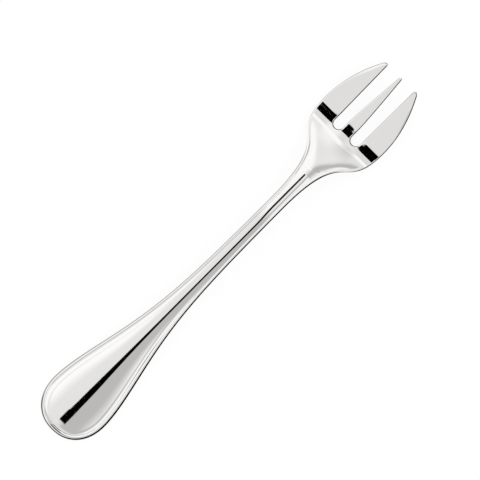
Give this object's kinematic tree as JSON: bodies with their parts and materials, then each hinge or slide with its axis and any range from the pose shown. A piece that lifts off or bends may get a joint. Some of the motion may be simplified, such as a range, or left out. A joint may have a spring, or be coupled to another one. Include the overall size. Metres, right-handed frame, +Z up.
{
  "type": "oyster fork",
  "caption": "Oyster fork in polished stainless steel, with short tines, broad rounded outer tines and a double-thread border round a crowned handle.",
  "frame": {"origin": "on the table plane, under the middle of the fork's length and width", "axes": "+X along the fork from the butt to the tine tips, +Y to the fork's left, +Z up out of its face"},
  "size_m": [0.15, 0.0248, 0.0086],
  "materials": {
    "steel": "mirror-polished 18/10 stainless steel"
  },
  "bodies": {
    "root": {"handle": "steel", "stem": "steel", "neck": "steel", "tine_root": "steel", "left_tine": "steel", "middle_tine": "steel", "right_tine": "steel"}
  },
  "joints": []
}
